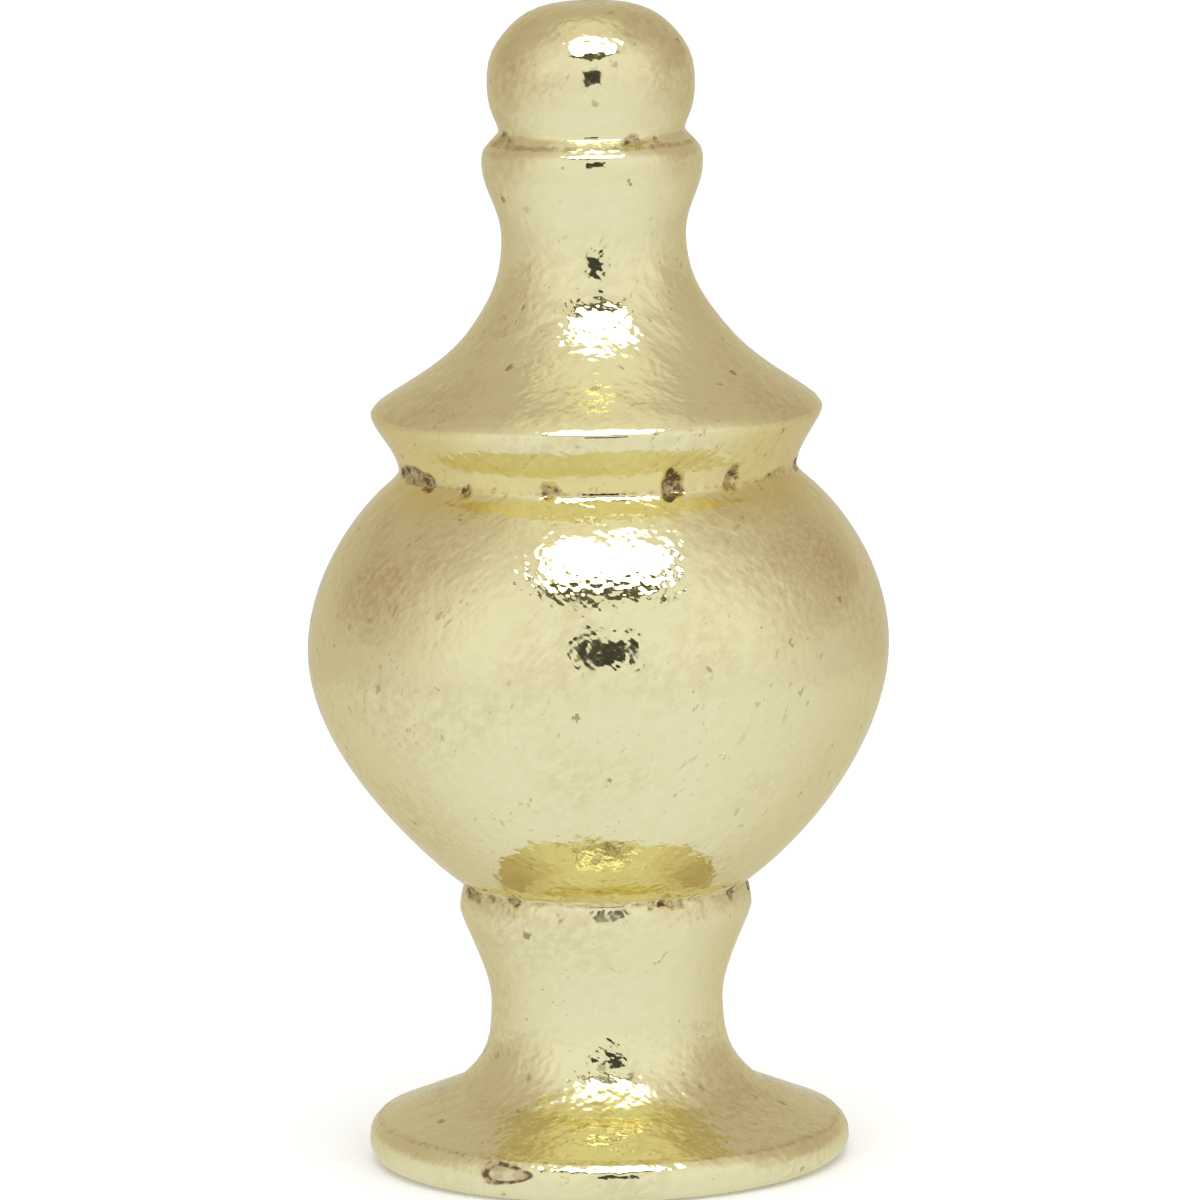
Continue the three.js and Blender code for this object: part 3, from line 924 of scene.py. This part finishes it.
def make_card(name, target, middle, distance, corners, material):
    """A flat card across a direction given as azimuth and elevation, facing the target.

    Its corners are given to the finial's own right and upwards, as shares of its distance.
    """
    away = towards(*middle)
    right = Vector((0, 0, 1)).cross(-away).normalized()
    up = right.cross(away)
    points = np.array([target + distance * (away + u * right + v * up) for u, v in corners])
    card = make_mesh(name, points, [np.arange(len(points))[None, :]])
    if card.data.polygons[0].normal.dot(away) > 0:
        card.data.flip_normals()
    card.data.materials.append(material)
    card.visible_camera = False


def make_mat_material():
    """The floor as the brass sees it: evenly pale, duller behind, and fading out towards its rim."""
    material, tree, shader = plain_material("pale_mat", (0.13, 0.13, 0.13))
    place = object_coordinates(tree)
    direction = vector_math(tree, "NORMALIZE", i0=place)
    axes = add(tree, "ShaderNodeSeparateXYZ", i0=direction).outputs
    behind = remap(tree, axes[1], -0.95, 0.95)
    glow = blend_colours(tree, behind, (0.70, 0.71, 0.755), (0.52, 0.485, 0.43))
    tree.links.new(glow, shader.inputs["Emission Color"])
    shader.inputs["Emission Strength"].default_value = 1.0
    from_middle = add(tree, "ShaderNodeVectorMath", {"operation": "LENGTH"}, i0=place).outputs["Value"]
    nearness = calculate(tree, "DIVIDE", 0.1, from_middle)
    tree.links.new(remap(tree, nearness, 0.3, 1.6), shader.inputs["Alpha"])
    return material


# Corners of the cards, to the finial's own right and upwards, as shares of their distance from it
SOFTBOX = (
    (-0.42, -0.2), (-0.1, -0.225), (0.2, -0.23), (0.28, -0.22), (0.30, -0.1), (0.30, 0.11),
    (0.27, 0.15), (0.1, 0.165), (-0.25, 0.16), (-0.42, 0.13),
)
SOFTBOX_SIDE = ((0.33, -0.16), (0.385, -0.15), (0.385, 0.12), (0.33, 0.14))
SOFTBOX_FRAME = (
    (-0.38, -0.29), (-0.25, -0.38), (-0.08, -0.42), (0.14, -0.42), (0.28, -0.38), (0.37, -0.31),
    (0.45, -0.2), (0.40, 0.1), (-0.3, 0.13), (-0.45, 0.12), (-0.46, -0.18),
)
CAMERA_CARD = ((-0.19, -0.145), (0.17, -0.145), (0.17, 0.145), (-0.19, 0.145))

# What the brass sees around it, from behind to the front
SURROUND = (
    (0.0, (0.63, 0.59, 0.52)),
    (0.15, (0.57, 0.50, 0.435)),
    (0.38, (0.61, 0.54, 0.47)),
    (0.50, (0.69, 0.63, 0.565)),
    (0.63, (0.82, 0.78, 0.74)),
    (0.75, (0.92, 0.91, 0.91)),
    (1.0, (0.93, 0.935, 0.96)),
)


def make_world(s):
    """A pale surround, brightest at the front and a little brown at the sides, seen as white.

    The brass sees its colours by how far a direction points to the front, and a little to the
    right, and near the horizon they run into the floor's. The floor is lit by an even white.
    """
    world = bpy.data.worlds.new("surround")
    world.use_nodes = True
    tree = world.node_tree
    way = tree.nodes.new("ShaderNodeTexCoord").outputs["Generated"]
    axes = add(tree, "ShaderNodeSeparateXYZ", i0=way).outputs
    front = calculate(tree, "MULTIPLY_ADD", axes[1], -0.5, 0.5)
    front = calculate(tree, "MULTIPLY_ADD", axes[0], 0.03, front)
    ramp = add(tree, "ShaderNodeValToRGB", i0=front)
    stops = ramp.color_ramp.elements
    for at, _ in SURROUND[1:-1]:
        stops.new(at)
    for stop, (at, shade) in zip(stops, SURROUND):
        stop.color = (*shade, 1)
    floor_glow = blend_colours(tree, front, (0.66, 0.62, 0.57), (0.88, 0.89, 0.92))
    low = remap(tree, axes[2], 0.0, 0.2, 0.6, 0.0)
    seen = blend_colours(tree, low, ramp.outputs["Color"], floor_glow)
    top = remap(tree, axes[2], 0.86, 1.0, 0.0, 0.9)
    seen = blend_colours(tree, top, seen, (0.90, 0.88, 0.80))
    path = tree.nodes.new("ShaderNodeLightPath").outputs
    seen = blend_colours(tree, path["Is Diffuse Ray"], seen, (s.stage.fill,) * 3)
    seen = blend_colours(tree, path["Is Camera Ray"], seen, (1.0, 1.0, 1.0))
    tree.links.new(seen, tree.nodes["Background"].inputs["Color"])
    bpy.context.scene.world = world


def make_camera(s):
    """The camera at the photograph's distance, height and lean."""
    stage = s.stage
    data = bpy.data.cameras.new("camera")
    data.lens = stage.lens
    data.sensor_width = 36.0
    data.clip_start, data.clip_end = 0.01, 10.0
    camera = bpy.data.objects.new("camera", data)
    back = towards(0, math.degrees(stage.elevation))
    turn = (-back).to_track_quat("-Z", "Y").to_matrix()
    turn = turn @ Matrix.Rotation(-stage.roll, 3, "Z")
    place = Matrix.Translation(Vector((0, 0, stage.target)) + back * stage.distance)
    camera.matrix_world = place @ turn.to_4x4()
    bpy.context.scene.collection.objects.link(camera)
    bpy.context.scene.camera = camera


# Operators


class FINIAL_OT_body(bpy.types.Operator):
    """Build the finial's body with its two finishes, in place of the plain solid"""

    bl_idname = "finial.body"
    bl_label = "Finial Body"

    def execute(self, context):
        s = context.scene.finial
        groups = {
            "ripple": make_ripple_group(),
            "tarnish": make_tarnish_group(),
            "specks": make_speck_group(),
            "smears": make_smear_group(),
        }
        body = make_body(s)
        body.data.materials.append(make_polished_brass(s, groups))
        body.data.materials.append(make_cut_brass(s, groups))
        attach(body, "root")
        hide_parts(NODE)
        return {"FINISHED"}


class FINIAL_OT_stage(bpy.types.Operator):
    """Set up the floor, the soft light, the surround and the camera"""

    bl_idname = "finial.stage"
    bl_label = "Finial Stage"

    def execute(self, context):
        s = context.scene.finial
        stage = s.stage
        mat = make_disc("floor_mat", stage.mat, 0)
        mat.data.materials.append(make_mat_material())
        for kind in ("camera", "diffuse", "transmission", "shadow"):
            setattr(mat, f"visible_{kind}", False)
        floor = make_disc("floor", stage.floor, -0.02 * MM)
        floor.data.materials.append(plain_material("pale_floor", (0.9, 0.9, 0.895))[0])
        floor.visible_glossy = False
        target = Vector((0, 0, stage.target))
        lamp, tree, shader = plain_material("softbox", (1, 1, 1))
        shader.inputs["Emission Color"].default_value = (1, 1, 1, 1)
        less = product(tree, seen_again(tree), stage.softbox_again - stage.softbox)
        glow = calculate(tree, "ADD", less, stage.softbox)
        tree.links.new(glow, shader.inputs["Emission Strength"])
        dark = plain_material("dark_card", (0.09, 0.085, 0.055))[0]
        camera_back, tree, shader = plain_material("camera_back", (0.05, 0.05, 0.045))
        shown = calculate(tree, "SUBTRACT", 1.0, seen_again(tree))
        tree.links.new(shown, shader.inputs["Alpha"])
        high, level = (2, 64), (2, 13.8)
        make_card("softbox", target, high, 0.6, SOFTBOX, lamp)
        make_card("softbox_side", target, high, 0.6, SOFTBOX_SIDE, lamp)
        make_card("softbox_frame", target, high, 0.605, SOFTBOX_FRAME, dark)
        make_card("camera_card", target, level, stage.distance * 1.02, CAMERA_CARD, camera_back)
        make_world(s)
        make_camera(s)
        context.scene.view_settings.view_transform = "Standard"
        return {"FINISHED"}


class FINIAL_PT_panel(bpy.types.Panel):
    """The finial's steps and sizes"""

    bl_label = "Lamp Finial"
    bl_idname = "FINIAL_PT_panel"
    bl_space_type = "VIEW_3D"
    bl_region_type = "UI"
    bl_category = "Finial"

    def draw(self, context):
        for operator in OPERATORS:
            self.layout.operator(operator.bl_idname)
        for name in FinialSettings.__annotations__:
            group = getattr(context.scene.finial, name)
            box = self.layout.box()
            box.label(text=name.title())
            for key in group.__annotations__:
                box.prop(group, key)


OPERATORS = (FINIAL_OT_body, FINIAL_OT_stage)
CLASSES = (
    SocketSizes, FootSizes, StemSizes, BowlSizes, LidSizes, NeckSizes, KnobSizes, SurfaceSizes,
    BrassColours, StageSizes, FinialSettings, *OPERATORS, FINIAL_PT_panel,
)


def register():
    for cls in CLASSES:
        bpy.utils.register_class(cls)
    bpy.types.Scene.finial = PointerProperty(type=FinialSettings)


def unregister():
    del bpy.types.Scene.finial
    for cls in reversed(CLASSES):
        bpy.utils.unregister_class(cls)


def main():
    register()
    bpy.ops.finial.body()
    bpy.ops.finial.stage()


if __name__ == "__main__":
    main()
